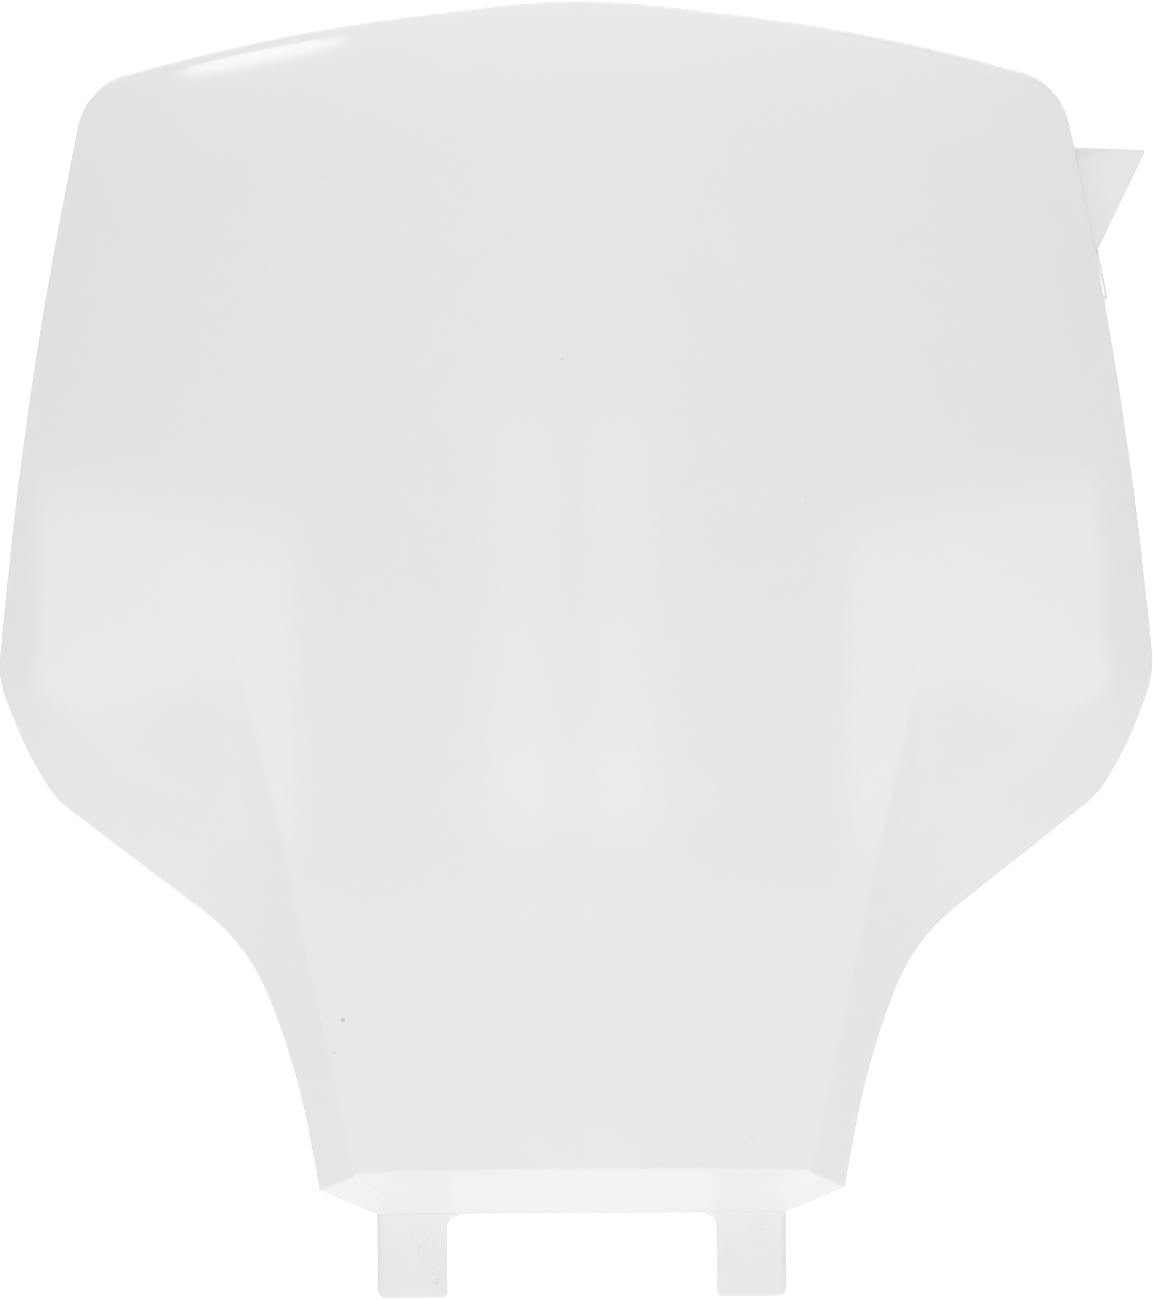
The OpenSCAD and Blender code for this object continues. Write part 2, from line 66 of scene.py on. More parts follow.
face_ahead = 34
face_z = -107
dish_r = 180
bow_r = 640
wall = 2.2
top_band_w = 24
top_band_back = 2.4
wing_band_w = 19
wing_band_back = 6
crease_top_z = -72
crease_top_x = 73.3
crease_foot_x = 45.5
crease_bow = 0.75
facet_slope = 1.03
facet_fade = 60
facet_turn = 4
facet_least = 0.12
facet_most = 0.6
facet_reach = 1.8
facet_slope_least = 0.02
facet_w_least = 3
wing_lean = 0.11
wing_lean_in = 12
wing_lean_drop = 20
chin_flare = 1.4
chin_flare_h = 17.5
chin_flare_x = 43.5

top_rim_r = 3
side_rim_r = 1.3
rim_deep = 7
rim_deep_h = 45
rim_lean_most = 0.9
free_edge_r = 0.35
free_edge_most = 0.4

ledge_front_up = 5.4
crease_foot_up = 4.1
ledge_front_z = foot[1] + ledge_front_up
ledge_rear_z = foot[1] - 5.5
ledge_rear_ahead = 6
ledge_rear_x = 42.5
ledge_deep = 22
ledge_rim_r = 0.8
crease_soft = 0.5
crease_soft_share = 0.05


def unit(v):
    """Vectors of length one."""
    return v / np.linalg.norm(v, axis=-1, keepdims=True)


def bend(a, p, b, r, step, first=0.0, last=1.0):
    """Points of the rounding of corner p between its neighbours a and b."""
    a, p, b = np.array(a, float), np.array(p, float), np.array(b, float)
    to_a, to_b = unit(a - p), unit(b - p)
    turn = math.pi - math.acos(float(to_a @ to_b))
    middle = p + unit(to_a + to_b) * r / math.cos(turn / 2)
    start = p + to_a * r * math.tan(turn / 2) - middle
    end = p + to_b * r * math.tan(turn / 2) - middle
    way = math.copysign(1, start[0] * end[1] - start[1] * end[0])
    count = max(4, math.ceil(r * turn * (last - first) / step))
    g = way * turn * np.linspace(first, last, count + 1)
    turned_x = start[0] * np.cos(g) - start[1] * np.sin(g)
    turned_z = start[0] * np.sin(g) + start[1] * np.cos(g)
    return middle + np.stack([turned_x, turned_z], -1)


def joined(runs, step):
    """Runs of points joined by straights, which get points of their own."""
    points = [np.array(runs[0], float)]
    for run in runs[1:]:
        run = np.array(run, float)
        start, end = points[-1][-1], run[0]
        count = max(1, round(float(np.linalg.norm(end - start)) / step))
        share = np.linspace(0, 1, count + 1)[1:-1, None]
        points += [start + (end - start) * share, run]
    return np.concatenate(points)


row_step = 1.6
shoulder_step = 0.8
top_step = 1
foot_soft = np.array(foot) + unit(np.array(chin, float) - foot) * crease_soft
side_path = joined([
    [foot],
    [foot_soft],
    bend(foot, chin, neck, chin_r, row_step),
    bend(chin, neck, wing_tip, neck_r, row_step),
    bend(neck, wing_tip, wing, wing_tip_r, row_step),
    bend(wing_tip, wing, widest, wing_r, row_step),
    bend(wing, widest, side, widest_r, row_step),
    bend(widest, side, shoulder, side_r, row_step),
    bend(side, shoulder, top_bend, shoulder_r, shoulder_step, last=0.5),
], row_step)
top_path = joined([
    bend(side, shoulder, top_bend, shoulder_r, shoulder_step / 2, first=0.5),
    bend(shoulder, top_bend, crest, top_bend_r, top_step),
    bend(top_bend, crest, (-top_bend[0], top_bend[1]), crest_r, top_step, last=0.5),
], top_step)[::-1]


def rim_x(z):
    """Half width of the board at height z, below the shoulders."""
    return np.interp(z, side_path[:, 1], side_path[:, 0])


def top_z(x):
    """Height of the top edge at x."""
    return np.interp(np.abs(x), top_path[:, 0], top_path[:, 1])


def crease_x(z):
    """Half distance between the creases at height z."""
    f = np.clip((z - foot[1]) / (crease_top_z - foot[1]), 0, 1)
    return crease_foot_x + (crease_top_x - crease_foot_x) * f - crease_bow * 4 * f * (1 - f)


def wing_back(x, z):
    """How far the wing leans back at x, z, before the facet beside the crease."""
    out = np.maximum(x - crease_x(z), 0)
    lean_drop = wing_lean_drop * (out / (widest[0] - crease_top_x)) ** 2
    below = np.maximum(crease_top_z - lean_drop - z, 0)
    way = unit(np.array(wing_tip, float) - neck)
    inward = (z - neck[1]) * way[0] - (x - neck[0]) * way[1]
    f = np.clip(1 - inward / wing_band_w, 0, 1.1)
    return wing_lean * below * below / (below + wing_lean_in) + wing_band_back * f * f


def facet_slope_at(z):
    """Slope of the facet beside the crease, which fades upwards; the solid's is 0.9 from end to end."""
    return facet_slope * (1 - np.exp(-np.maximum(crease_top_z - z, 0) / facet_fade))


def ahead(x, z):
    """How far ahead of the fixing hole the face is."""
    w = np.abs(x)
    base = face_ahead - (dish_r - np.sqrt(dish_r**2 - w * w)) - (z - face_z) ** 2 / (2 * bow_r)
    back = np.maximum(wing_back(w, z), 1e-6)
    t = facet_slope_at(z) * np.maximum(w - crease_x(z), 0) / back
    wing_cut = back * t / (1 + t**facet_turn) ** (1 / facet_turn)
    f = np.clip(1 - (top_z(w) - z) / top_band_w, 0, 1.2)
    top_cut = top_band_back * f * f
    flare_top = ledge_front_z + chin_flare_h * (1 - (w / chin_flare_x) ** 2)
    f = np.clip((flare_top - z) / chin_flare_h, 0, 1.2)
    return base - wing_cut - top_cut + chin_flare * f * f


def face_normal(x, z):
    """The way the face looks at x, z."""
    d = 0.4
    across = (ahead(x + d, z) - ahead(x - d, z)) / (2 * d)
    up = (ahead(x, z + d) - ahead(x, z - d)) / (2 * d)
    return unit(np.stack([-across, -np.ones_like(across), -up], -1))


def rim_r(out_z):
    """Rounding of the rim where the outline's outward way has height out_z."""
    return side_rim_r + (top_rim_r - side_rim_r) * np.maximum(out_z, 0) ** 2


def rim_start(p, n):
    """Where the face stops and the rim's rounding begins, at outline points p with outward ways n."""
    look = face_normal(p[:, 0], p[:, 1])
    out = n[:, 0] * look[:, 0] + n[:, 1] * look[:, 2]
    lean = out * np.abs(look[:, 1]) / np.sqrt(1 - out * out)
    return p - n * (rim_r(n[:, 1]) * (1 - lean))[:, None]


side_run = unit(np.gradient(side_path, axis=0))
side_edge = rim_start(side_path, np.stack([side_run[:, 1], -side_run[:, 0]], -1))
middle_columns = 40
facet_shares = np.linspace(0, 1, 11)[1:]
rim_crowding = 1.4
wing_shares = 1 - (1 - np.linspace(0, 1, 25)[1:]) ** rim_crowding


def across(w, z):
    """Where the columns stand in a row whose half width is w, at height z."""
    if z > crease_top_z:
        c = w * crease_top_x / float(rim_x(crease_top_z))
    else:
        c = min(float(crease_x(z)), w - facet_w_least)
    facet_w = float(wing_back(c, z)) / max(float(facet_slope_at(z)), facet_slope_least)
    s = min(max(facet_reach * facet_w, facet_least * (w - c)), facet_most * (w - c))
    half = np.concatenate([
        np.linspace(0, c - crease_soft, middle_columns)[1:],
        [c, c + min(crease_soft, crease_soft_share * s)],
        c + s * facet_shares,
        c + s + (w - c - s) * wing_shares,
    ])
    return np.concatenate([-half[::-1], [0], half])


foot_across = across(*side_edge[0])
foot_ahead = float(ahead(0, ledge_front_z))
foot_w = np.abs(foot_across)
front_arch = ledge_front_up - (ledge_front_up - crease_foot_up) * (foot_w / crease_foot_x) ** 2
facet_rise = crease_foot_up * (side_edge[0][0] - foot_w) / (side_edge[0][0] - crease_foot_x)
foot_lift = np.where(foot_w < crease_foot_x, front_arch, facet_rise)
top_across = across(*side_edge[-1])
top_w = np.abs(top_across)
slope_step = 0.3
top_rise = top_z(top_w + slope_step) - top_z(top_w - slope_step)
top_run = unit(np.stack([np.full_like(top_w, 2 * slope_step), top_rise], -1))
top_out = np.stack([-top_run[:, 1], top_run[:, 0]], -1)
top_start = rim_start(np.stack([top_w, top_z(top_w)], -1), top_out)
top_start[[0, -1]] = side_edge[-1]
top_edge = np.stack([np.sign(top_across) * top_start[:, 0], top_start[:, 1]], -1)

# The rows of the face bend with the top edge above the first height, and with the foot's arch
# below the second.
bent_above_z = -22
bent_below_z = neck[1] - 10
face_flat = []
for w, z in side_edge:
    top_share = np.clip((z - bent_above_z) / (side_edge[-1][1] - bent_above_z), 0, 1)
    foot_share = np.clip((bent_below_z - z) / (bent_below_z - side_edge[0][1]), 0, 1)
    lifted = z + foot_lift * foot_share + (top_edge[:, 1] - side_edge[-1][1]) * top_share
    face_flat.append(np.stack([across(w, z), lifted], -1))
face_flat = np.array(face_flat)
face_flat[-1] = top_edge
face_x, face_up = face_flat[..., 0], face_flat[..., 1]
face = np.stack([face_x, -ahead(face_x, face_up), face_up], -1)
looks = face_normal(face_x, face_up)

ledge_shares = np.append(np.linspace(0, 1, 15)[:-1], 1 - crease_soft / ledge_deep)
ledge_rear = np.stack([
    foot_across / side_edge[0][0] * (ledge_rear_x - ledge_rim_r),
    np.full_like(foot_across, -ledge_rear_ahead),
    np.full_like(foot_across, ledge_rear_z),
], -1)
ledge = np.array([ledge_rear + (face[0] - ledge_rear) * share for share in ledge_shares])
ledge_look = unit(np.array([0, ledge_rear_z - ledge_front_z, ledge_rear_ahead - foot_ahead]))
corner_look = (looks[0] + ledge_look) / (1 + looks[0] @ ledge_look)[:, None]
skin = np.concatenate([ledge, face])
inward = -np.concatenate([np.broadcast_to(ledge_look, ledge.shape), corner_look[None], looks[1:]])


def edge_of(grid):
    """The places round the edge of a grid, once round, as row and column."""
    high, wide = grid.shape[0] - 1, grid.shape[1] - 1
    places = [(0, j) for j in range(wide)]
    places += [(i, wide) for i in range(high)]
    places += [(high, j) for j in range(wide, 0, -1)]
    places += [(i, 0) for i in range(high, 0, -1)]
    return tuple(np.array(places).T)


def closed_mesh(name, skin, rings, back):
    """A closed sheet from its front skin, the rings of points round its edge and its back skin."""
    high, wide = skin.shape[:2]
    edge = edge_of(skin)
    count = len(edge[0])
    front_at = np.arange(high * wide).reshape(high, wide)
    back_at = front_at + high * wide
    loops = [front_at[edge]]
    for k in range(len(rings)):
        loops.append(2 * high * wide + k * count + np.arange(count))
    loops.append(back_at[edge])
    faces = []
    for at, order in ((front_at, -1), (back_at, 1)):
        corners = np.stack([at[:-1, :-1], at[1:, :-1], at[1:, 1:], at[:-1, 1:]], -1)
        faces.append(corners.reshape(-1, 4)[:, ::order])
    for one, two in zip(loops[:-1], loops[1:]):
        faces.append(np.stack([one, two, np.roll(two, -1), np.roll(one, -1)], -1))
    points = np.concatenate([skin.reshape(-1, 3), back.reshape(-1, 3), *rings]) * mm
    mesh = bpy.data.meshes.new(name)
    mesh.from_pydata(points.tolist(), [], np.concatenate(faces).tolist())
    mesh.validate()
    piece = bpy.data.objects.new(name, mesh)
    bpy.context.scene.collection.objects.link(piece)
    return piece


def smooth(piece, degrees):
    """Smooth shading, with edges sharper than that left sharp."""
    piece.data.polygons.foreach_set("use_smooth", [True] * len(piece.data.polygons))
    piece.data.set_sharp_from_angle(angle=math.radians(degrees))


def round_end(outer, inner, start):
    """Rings that round both corners of a free edge, which runs from start to outer and on to inner."""
    down, over = outer - start, inner - outer
    shorter = np.minimum(np.linalg.norm(down, axis=-1), np.linalg.norm(over, axis=-1))
    r = np.minimum(free_edge_r, free_edge_most * shorter)[:, None]
    down, over = unit(down), unit(over)
    quarter = np.radians([0, 30, 60, 90])
    rings = []
    for g in quarter:
        rings.append(outer + (over - down) * r + (down * math.sin(g) - over * math.cos(g)) * r)
    for g in quarter:
        rings.append(inner - (over + down) * r + (down * math.cos(g) + over * math.sin(g)) * r)
    return rings


def at_edge(skin, inward):
    """The edge of a skin: its places, its points, the way it looks there and the way out of it."""
    edge = edge_of(skin)
    start = skin[edge]
    look = unit(-inward[edge])
    out = unit(np.cross(np.roll(start, -1, 0) - np.roll(start, 1, 0), look))
    return edge, start, look, out


def finish_piece(piece, material):
    """Gives a piece its material and its place in the frame."""
    piece.data.materials.append(material)
    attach(piece, "root")
    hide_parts("number_plate")


edge, start, look, out = at_edge(skin, inward)
on_ledge = edge[0] < len(ledge)
at_foot = edge[0] == len(ledge)
edge_r = rim_r(unit(out[:, [0, 2]])[:, 1])
edge_r = np.where(at_foot, (ledge_rim_r + side_rim_r) / 2, edge_r)
edge_r = np.where(on_ledge, ledge_rim_r, edge_r)[:, None]
lean = np.where(on_ledge, 0, np.arcsin(np.clip(out[:, 1], 0, rim_lean_most)))
sweep = (math.pi / 2 - lean)[:, None]
rings = []
for share in np.linspace(0, 1, 8)[1:]:
    turned = sweep * share
    rings.append(start + out * edge_r * np.sin(turned) - look * edge_r * (1 - np.cos(turned)))
back = skin + inward * wall
deep = wall + (rim_deep - wall) * np.clip((start[:, 2] - foot[1]) / rim_deep_h, 0, 1)
root = back[edge]
outer_ledge = start + out * edge_r - look * wall
outer_side = rings[-1] + np.stack([0 * deep, deep, 0 * deep], -1)
outer = np.where(on_ledge[:, None], outer_ledge, outer_side)
inner_side = np.stack([root[:, 0], outer[:, 1], root[:, 2]], -1)
inner = np.where(on_ledge[:, None], (outer + root) / 2, inner_side)
rings += round_end(outer, inner, rings[-1])
board = closed_mesh("moulded_board", skin, rings, back)
smooth(board, 80)


node_apart = 220


def feed(tree, socket, value):
    """Feeds a socket with a constant or with another node's output."""
    if isinstance(value, bpy.types.NodeSocket):
        tree.links.new(value, socket)
    else:
        socket.default_value = value


def node(tree, kind, **inputs):
    """A new shader node, in one row with the tree's other nodes, with some of its inputs set."""
    made = tree.nodes.new(kind)
    made.location = (node_apart * len(tree.nodes), 0)
    for key, value in inputs.items():
        feed(tree, made.inputs[key.replace("_", " ")], value)
    return made


def maths(tree, operation, *values):
    """The outcome of a Math node; each value is a number or another node's output."""
    made = node(tree, "ShaderNodeMath")
    made.operation = operation
    for socket, value in zip(made.inputs, values):
        feed(tree, socket, value)
    return made.outputs[0]


def mixed_colors(tree, blend, share, first, second):
    """The outcome of a Mix node on two colours; each is a constant or another node's output."""
    made = node(tree, "ShaderNodeMix")
    made.data_type = "RGBA"
    made.blend_type = blend
    color_sockets = [socket for socket in made.inputs if socket.type == "RGBA"]
    for socket, value in zip((made.inputs["Factor"], *color_sockets), (share, first, second)):
        feed(tree, socket, value)
    return next(socket for socket in made.outputs if socket.type == "RGBA")


def noise_at(tree, place, scale, detail):
    """Soft noise from 0 to 1 at that place, with scale waves to the metre."""
    return node(tree, "ShaderNodeTexNoise", Vector=place, Scale=scale, Detail=detail).outputs[0]


def between(tree, value, low, high):
    """0 where the value is low, 1 where it is high, and a soft step between."""
    made = node(tree, "ShaderNodeMapRange", Value=value, From_Min=low, From_Max=high)
    made.interpolation_type = "SMOOTHSTEP"
    return made.outputs[0]


def new_group(name, inputs, outputs):
    """A node group whose named inputs have a value each and whose outputs are all numbers."""
    group = bpy.data.node_groups.new(name, "ShaderNodeTree")
    for label, value in inputs.items():
        kind = "NodeSocketFloat" if isinstance(value, float) else "NodeSocketVector"
        group.interface.new_socket(label, in_out="INPUT", socket_type=kind).default_value = value
    for label in outputs:
        group.interface.new_socket(label, in_out="OUTPUT", socket_type="NodeSocketFloat")
    return group, node(group, "NodeGroupInput"), node(group, "NodeGroupOutput")


def use_group(tree, group, place, **inputs):
    """A group in a material, at that place on the piece, with some of its inputs set."""
    made = node(tree, "ShaderNodeGroup")
    made.node_tree = group
    feed(tree, made.inputs["Place"], place)
    for key, value in inputs.items():
        feed(tree, made.inputs[key], value)
    return made


# The skin that a polished mould leaves: wide clouds in tone and gloss, and long soft waves.
moulded_skin, enter, leave = new_group(
    "moulded_skin",
    {"Place": (0, 0, 0), "Tone Spread": 0.006, "Roughness": 0.11, "Gloss Spread": 0.05},
    ("Tone", "Roughness", "Height"),
)
tree = moulded_skin
place = enter.outputs["Place"]
clouds = maths(tree, "SUBTRACT", noise_at(tree, place, scale=14, detail=3), 0.5)
grain = maths(tree, "SUBTRACT", noise_at(tree, place, scale=700, detail=2), 0.5)
unevenness = maths(tree, "ADD", clouds, grain)
tone_spread = maths(tree, "MULTIPLY", enter.outputs["Tone Spread"], 2)
tone = maths(tree, "MULTIPLY_ADD", unevenness, tone_spread, 1)
gloss = maths(tree, "MULTIPLY_ADD", clouds, enter.outputs["Gloss Spread"], enter.outputs["Roughness"])
tree.links.new(tone, leave.inputs["Tone"])
tree.links.new(gloss, leave.inputs["Roughness"])
tree.links.new(noise_at(tree, place, scale=260, detail=1), leave.inputs["Height"])

# Marks of handling: fine short scratches in two directions, in a few patches only.
handling_marks, enter, leave = new_group(
    "handling_marks",
    {"Place": (0, 0, 0), "Patches": 0.56},
    ("Mark",),
)
tree = handling_marks
place = enter.outputs["Place"]
lines = []
for lean in (0.35, 2.2):
    stretch = node(tree, "ShaderNodeMapping", Vector=place, Rotation=(0, lean, 0), Scale=(0.02, 0.5, 1))
    waves = noise_at(tree, stretch.outputs[0], scale=2200, detail=1)
    lines.append(between(tree, waves, low=0.72, high=0.80))
patches = noise_at(tree, place, scale=40, detail=2)
inside = maths(tree, "GREATER_THAN", patches, enter.outputs["Patches"])
mark = maths(tree, "MULTIPLY", maths(tree, "MAXIMUM", *lines), inside)
tree.links.new(mark, leave.inputs["Mark"])

# A small spot of dirt at one place, with a soft edge.
spot, enter, leave = new_group(
    "spot",
    {"Place": (0, 0, 0), "Middle": (0, 0, 0), "Radius": 0.0003, "Strength": 0.5},
    ("Mark",),
)
tree = spot
apart = node(tree, "ShaderNodeVectorMath")
apart.operation = "DISTANCE"
tree.links.new(enter.outputs["Place"], apart.inputs[0])
tree.links.new(enter.outputs["Middle"], apart.inputs[1])
shares = maths(tree, "DIVIDE", apart.outputs["Value"], enter.outputs["Radius"])
mark = maths(tree, "MULTIPLY", between(tree, shares, low=1.3, high=0.6), enter.outputs["Strength"])
tree.links.new(mark, leave.inputs["Mark"])


def all_spots(tree, place, spots):
    """One mask of all the spots: each has x, ahead, z and radius in millimetres, and a strength."""
    mask = 0
    for x, front, z, radius, strength in spots:
        middle = (x * mm, -front * mm, z * mm)
        one = use_group(tree, spot, place, Middle=middle, Radius=radius * mm, Strength=strength)
        mask = maths(tree, "MAXIMUM", mask, one.outputs["Mark"])
    return mask


mark_darkens = 0.02
mark_dulls = 0.1
skin_relief = 0.006 * mm
plastic_ior = 1.49


def moulded_plastic(name, color, dirt_color, spots, dirt_mask):
    """White plastic with a moulded skin, handling marks and spots of dirt, which dirt_mask draws."""
    material = bpy.data.materials.new(name)
    material.use_nodes = True
    tree = material.node_tree
    shader = tree.nodes["Principled BSDF"]
    place = node(tree, "ShaderNodeTexCoord").outputs["Object"]
    surface = use_group(tree, moulded_skin, place)
    marks = use_group(tree, handling_marks, place).outputs["Mark"]
    dirt = dirt_mask(tree, place, spots)
    shade = maths(tree, "MULTIPLY_ADD", marks, -mark_darkens, surface.outputs["Tone"])
    toned = mixed_colors(tree, "MULTIPLY", 1, color, shade)
    tree.links.new(mixed_colors(tree, "MIX", dirt, toned, dirt_color), shader.inputs["Base Color"])
    worn = maths(tree, "MAXIMUM", marks, dirt)
    dull = maths(tree, "MULTIPLY_ADD", worn, mark_dulls, surface.outputs["Roughness"])
    tree.links.new(dull, shader.inputs["Roughness"])
    relief = surface.outputs["Height"]
    bump = node(tree, "ShaderNodeBump", Height=relief, Strength=1, Distance=skin_relief)
    tree.links.new(bump.outputs["Normal"], shader.inputs["Normal"])
    shader.inputs["IOR"].default_value = plastic_ior
    return material


# Specks of dirt on the face, as x, z, radius and strength, and one on the ledge, as x, ahead, z,
# radius and strength.
face_specks = [
    (-48.5, -161.4, 0.42, 0.4),
    (-50.2, -168.1, 0.35, 0.1),
    (-3.6, -28.2, 0.35, 0.13),
    (45.6, -57.4, 0.35, 0.1),
    (67.3, -110, 0.35, 0.12),
    (-28.7, -2.2, 0.4, 0.06),
    (-63.5, -8.2, 0.35, 0.06),
    (33.8, -185.5, 0.6, 0.06),
]
ledge_speck = (17.7, 10, -195.4, 0.3, 0.08)
board_spots = [(x, float(ahead(x, z)), z, radius, strength) for x, z, radius, strength in face_specks]
board_spots.append(ledge_speck)
white = (0.82, 0.812, 0.815, 1)
dust = (0.16, 0.13, 0.12, 1)
plastic = moulded_plastic("white_polypropylene", white, dust, board_spots, all_spots)
finish_piece(board, plastic)


# The two locating tabs. Each is a tongue moulded down from the rear edge of the ledge, with its
# outer edge turned back for stiffness; they push into two slots of the lower fork clamp.
tab_inner_x = 27.6
tab_outer_x = 42
tab_h = 17.3
tab_return = 6
tab_root_r = 2.8
tab_bend_r = 1.5
tab_outer_r = 1.6
tab_inner_r = 0.9
tab_edge_r = 0.5
tab_set_back = 0.2
tab_rooted = 1.5
tab_front = -ledge_rear_ahead + tab_set_back
tab_low = ledge_rear_z - tab_h
tab_top = ledge_rear_z + tab_rooted

face_shares = np.concatenate([
    [0, 0.02, 0.045, 0.07],
    np.linspace(0.1, 0.8, 12),
    [0.84, 0.88, 0.92, 0.96],
])
bend_angles = np.linspace(0, math.pi / 2, 9)
leg_shares = np.linspace(0, 1, 8)[1:]
tab_rows = [(tab_top, tab_root_r)]
for g in np.linspace(math.pi / 2, 0, 13):
    tab_rows.append((ledge_rear_z - tab_root_r * (1 - math.sin(g)), tab_root_r * (1 - math.cos(g))))
for z in np.linspace(ledge_rear_z - tab_root_r, tab_low + tab_edge_r, 16)[1:]:
    tab_rows.append((z, 0))
x_bend = tab_outer_x - tab_bend_r
leg_start = tab_front + tab_bend_r
skin_inner_r = tab_inner_r - tab_edge_r
tab_skin, tab_inward = [], []
for z, fillet in tab_rows:
    share = (tab_top - z) / (tab_top - tab_low - tab_edge_r)
    x_in = tab_inner_x - fillet + tab_edge_r
    xs = np.concatenate([
        x_in + (x_bend - x_in) * face_shares,
        x_bend + tab_bend_r * np.sin(bend_angles),
        np.full(len(leg_shares), tab_outer_x),
    ])
    ys = np.concatenate([
        np.full(len(face_shares), tab_front),
        leg_start - tab_bend_r * np.cos(bend_angles),
        leg_start + (tab_front + tab_return - tab_edge_r - leg_start) * leg_shares,
    ])
    over = np.clip(xs - (tab_outer_x - tab_outer_r), 0, tab_outer_r)
    outer_lift = tab_outer_r - np.sqrt(tab_outer_r**2 - over**2)
    within = np.clip(tab_inner_x + tab_inner_r - xs, 0, skin_inner_r)
    inner_lift = skin_inner_r - np.sqrt(skin_inner_r**2 - within**2)
    zs = tab_top + (tab_low + tab_edge_r + outer_lift + inner_lift - tab_top) * share
    tab_skin.append(np.stack([xs, ys, zs], -1))
    looks_x = np.concatenate([0 * face_shares, np.sin(bend_angles), 1 + 0 * leg_shares])
    looks_y = np.concatenate([-1 + 0 * face_shares, -np.cos(bend_angles), 0 * leg_shares])
    tab_inward.append(np.stack([-looks_x, -looks_y, 0 * xs], -1))
tab_skin = np.array(tab_skin)[::-1]
tab_inward = np.array(tab_inward)[::-1]

# Inside the bend the back's points lie close together round one corner.
corner_gap = 0.02
tab_back = tab_skin + tab_inward * wall
in_bend = np.abs(tab_inward[..., 0] * tab_inward[..., 1]) > 1e-6
spread = corner_gap * (np.arange(tab_skin.shape[1]) - len(face_shares) - len(bend_angles) / 2)
corner_x = tab_outer_x - wall + np.minimum(spread, 0)
corner_y = tab_front + wall + np.maximum(spread, 0)
tab_back[..., 0] = np.where(in_bend, corner_x, tab_back[..., 0])
tab_back[..., 1] = np.where(in_bend, corner_y, tab_back[..., 1])

# The tabs are rubbed where they slid into their slots: pale brown scuffs, and one stronger stain.
tab_spots = [
    (-29.8, -tab_front, -216.2, 0.8, 0.4),
    (-31, -tab_front, -210.6, 3.8, 0.1),
    (-32.5, -tab_front, -206.8, 3.4, 0.08),
    (-29.6, -tab_front, -213.6, 2, 0.12),
    (36.2, -tab_front, -206.4, 2.8, 0.1),
    (30.2, -tab_front, -212.5, 2.8, 0.08),
]


def scuffs(tree, place, spots):
    """The spots, broken up by noise into small scuffs."""
    mask = all_spots(tree, place, spots)
    crumbs = between(tree, noise_at(tree, place, scale=1500, detail=3), low=0.42, high=0.62)
    return maths(tree, "MULTIPLY", mask, crumbs)


tab_white = (0.825, 0.815, 0.815, 1)
rub = (0.6, 0.52, 0.4, 1)
worn_plastic = moulded_plastic("worn_polypropylene", tab_white, rub, tab_spots, scuffs)

quarter = np.radians([22.5, 45, 67.5, 90])
for name, way in (("tab_right", 1), ("tab_left", -1)):
    mirror = np.array([way, 1, 1])
    skin = (tab_skin * mirror)[:, ::way]
    inward = (tab_inward * mirror)[:, ::way]
    back = (tab_back * mirror)[:, ::way]
    edge, start, look, out = at_edge(skin, inward)
    rings = []
    for g in quarter:
        rings.append(start + out * tab_edge_r * math.sin(g) - look * tab_edge_r * (1 - math.cos(g)))
    root = back[edge]
    for g in quarter[::-1]:
        rings.append(root + out * tab_edge_r * math.sin(g) + look * tab_edge_r * (1 - math.cos(g)))
    tab = closed_mesh(name, skin, rings, back)
    smooth(tab, 50)
    finish_piece(tab, worn_plastic)


# The fixing lug behind the upper middle of the board: a round ended shelf with the hole for one
# M6 screw, carried by two thin ribs. It is hidden in the photograph and is plain.
hole_r = 3.25
lug_r = 13
lug_h = 4
rib_h = 20
rib_w = 2
rib_x = lug_r * 0.7
rib_toe = 1
lug_front = float(-ahead(0, 0)) + wall / 2


def mesh_piece(name, points, faces, bevel):
    """A piece from points in millimetres and faces, with its edges rounded."""
    mesh = bpy.data.meshes.new(name)
    mesh.from_pydata((np.array(points) * mm).tolist(), [], faces)
    shape = bmesh.new()
    shape.from_mesh(mesh)
    bmesh.ops.recalc_face_normals(shape, faces=shape.faces)
    shape.to_mesh(mesh)
    shape.free()
    piece = bpy.data.objects.new(name, mesh)
    bpy.context.scene.collection.objects.link(piece)
    rounding = piece.modifiers.new("rounded_edges", "BEVEL")
    rounding.width = bevel * mm
    rounding.segments = 3
    rounding.limit_method = "ANGLE"
    rounding.angle_limit = math.radians(40)
    smooth(piece, 45)
    return piece


def prism(name, outline, first, last, place, bevel):
    """A flat plate whose outline u, v runs from first to last in t; place(u, v, t) gives a point."""
    count = len(outline)
    points = [place(u, v, t) for t in (first, last) for u, v in outline]
    faces = [tuple(range(count))[::-1], tuple(range(count, 2 * count))]
    for k in range(count):
        following = (k + 1) % count
        faces.append((k, following, following + count, k + count))
    return mesh_piece(name, points, faces, bevel)


def lug_reach(g):
    """How far the lug reaches from the middle of its hole: round behind, and straight to the board."""
    if math.sin(g) >= 0:
        return lug_r
    return min(lug_r / max(abs(math.cos(g)), 1e-9), lug_front / math.sin(g))


